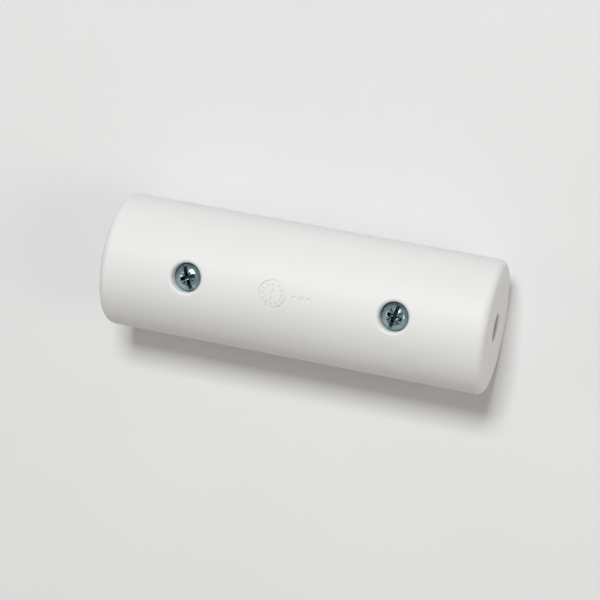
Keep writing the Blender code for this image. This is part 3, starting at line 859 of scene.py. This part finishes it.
dome_centre = (SCREW_X, 0.0, COVER_HIGH.z - COVER_CROWN)
dome_radii = (COVER_HEAD_RADIUS, COVER_HEAD_RADIUS, COVER_CROWN)
# Painted shade: a dark teal mixed into the cross recess and slot of the cover screw heads, in place of the
# shade that falls there.
recess_painted_shade = (0.006, 0.045, 0.062)
blue_zinc = plated_metal("blue_zinc", light=(0.54, 0.70, 0.77), dark=(0.36, 0.52, 0.58),
                         stain=(0.15, 0.17, 0.14), gloss=0.08, dome=(dome_centre, dome_radii, recess_painted_shade))


def tapered(name, half_x, half_y, top, depth, taper):
    """A block that narrows downwards, for a recess with drafted walls."""
    block = add_block(name, (-half_x, -half_y, top - depth), (half_x, half_y, top))
    edit(block, lambda centre, normal: normal.z < -0.9, "FACE")
    bpy.ops.transform.resize(value=(taper, taper, 1), center_override=(0, 0, top - depth))
    bpy.ops.object.mode_set(mode="OBJECT")
    return block


cover_tip = COVER_LOW.z - (COVER_HIGH.z - COVER_HEAD_HEIGHT)
cover = turned("cover_screw", [
    *crown(COVER_HEAD_RADIUS, COVER_HEAD_HEIGHT, drop=COVER_CROWN, squareness=2.1),
    (COVER_HEAD_RADIUS, 0.2 * MM), (COVER_HEAD_RADIUS - 0.2 * MM, 0),
    (COVER_SHANK + 0.2 * MM, 0), (COVER_SHANK, -0.3 * MM),
    (COVER_SHANK, -4 * MM), (COVER_ROOT, -4.4 * MM), (COVER_ROOT, cover_tip + COVER_POINT),
    (COVER_ROOT - 0.5 * MM, cover_tip), (0, cover_tip)], steps=96)
wind_thread(cover, THREAD_CREST, COVER_ROOT, COVER_PITCH, top=-3.9 * MM,
            tip=cover_tip + COVER_POINT + 0.1 * MM)
cut(cover, driver_slot("cover_slot", SLOT_HALF, SLOT_DEPTH, COVER_HEAD_HEIGHT, 2 * BEYOND))
recess_top = COVER_HEAD_HEIGHT + 0.1 * MM
cross = tapered("cross", ARM_REACH, SLOT_HALF, recess_top, RECESS_DEPTH, ARM_TAPER)
cut(cross, tapered("cross_arm", SLOT_HALF, ARM_REACH, recess_top, RECESS_DEPTH, ARM_TAPER), "UNION")
core = tapered("cross_core", CORE_HALF, CORE_HALF, recess_top, RECESS_DEPTH, CORE_TAPER)
core.rotation_euler = (0, 0, math.pi / 4)
cut(cross, core, "UNION")
for quarter in range(4):
    nick = add_block("nick", (NICK_START, -NICK_HALF, COVER_HEAD_HEIGHT - NICK_DEPTH),
                     (NICK_END, NICK_HALF, recess_top))
    nick.rotation_euler = (0, 0, math.pi / 4 + math.pi / 2 * quarter)
    cut(cross, nick, "UNION")
cut(cover, cross)
finish(cover, blue_zinc)
for side, sign in SIDES:
    placed = copy_of(cover, "threaded_cover_screw_" + side,
                     (sign * SCREW_X, 0, COVER_HIGH.z - COVER_HEAD_HEIGHT), math.radians(SLOT_ANGLES[side]))
    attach(placed, side + "_cover_screw")
    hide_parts("cover_screw_" + side)
bpy.data.objects.remove(cover)


# Table and light. A sheet of matt white paper, a soft key light above and behind, a weak soft box
# beyond each end, and a pale, slightly warm room that fills the shadows.
FLOOR_SIZE = 6.0
BOX_DISTANCE = 1.2
WARM = (1.0, 0.945, 0.885)
SOFT_BOXES = {
    "key": (0, 25, 9.7, 0.28, (0.94, 0.975, 1.0)),
    "left_fill": (-50, 0, 0.6, 0.45, WARM),
    "right_fill": (50, 0, 2.0, 0.45, WARM),
}
ROOM_STRENGTH = 0.30


def paper(name, dark, light):
    """Matt white paper: a faint cloudiness and a fine tooth."""
    material = new_finish(name, {"Specular IOR Level": 0.2})
    cloud = mottle(material, scale=9, detail=3.0)
    tooth = mottle(material, scale=900)
    colour = mixed(material, between(material, cloud, 0.0, 1.0), (*dark, 1.0), (*light, 1.0))
    return dress(material, colour, between(material, cloud, 0.72, 0.82), [(tooth, 0.01 * MM)])


bpy.ops.object.select_all(action="DESELECT")
bpy.ops.mesh.primitive_plane_add(size=FLOOR_SIZE, location=(0, 0, cad_low.z))
floor = named("floor")
floor.data.materials.append(paper("white_sheet", dark=(0.765, 0.765, 0.765), light=(0.785, 0.785, 0.785)))

for name, (across_degrees, back_degrees, power, size, colour) in SOFT_BOXES.items():
    across, back = math.radians(across_degrees), math.radians(back_degrees)
    away = Vector((math.sin(across), math.cos(across) * math.sin(back), math.cos(across) * math.cos(back)))
    box = bpy.data.objects.new(name, bpy.data.lights.new(name, "AREA"))
    bpy.context.collection.objects.link(box)
    box.data.size = size
    box.data.energy = power
    box.data.color = colour
    box.location = away * BOX_DISTANCE
    box.rotation_euler = away.to_track_quat("Z", "Y").to_euler()

room = bpy.context.scene.world or bpy.data.worlds.new("room")
bpy.context.scene.world = room
room.use_nodes = True
background = room.node_tree.nodes["Background"]
background.inputs["Color"].default_value = (*WARM, 1.0)
background.inputs["Strength"].default_value = ROOM_STRENGTH
bpy.context.scene.view_settings.view_transform = "Standard"
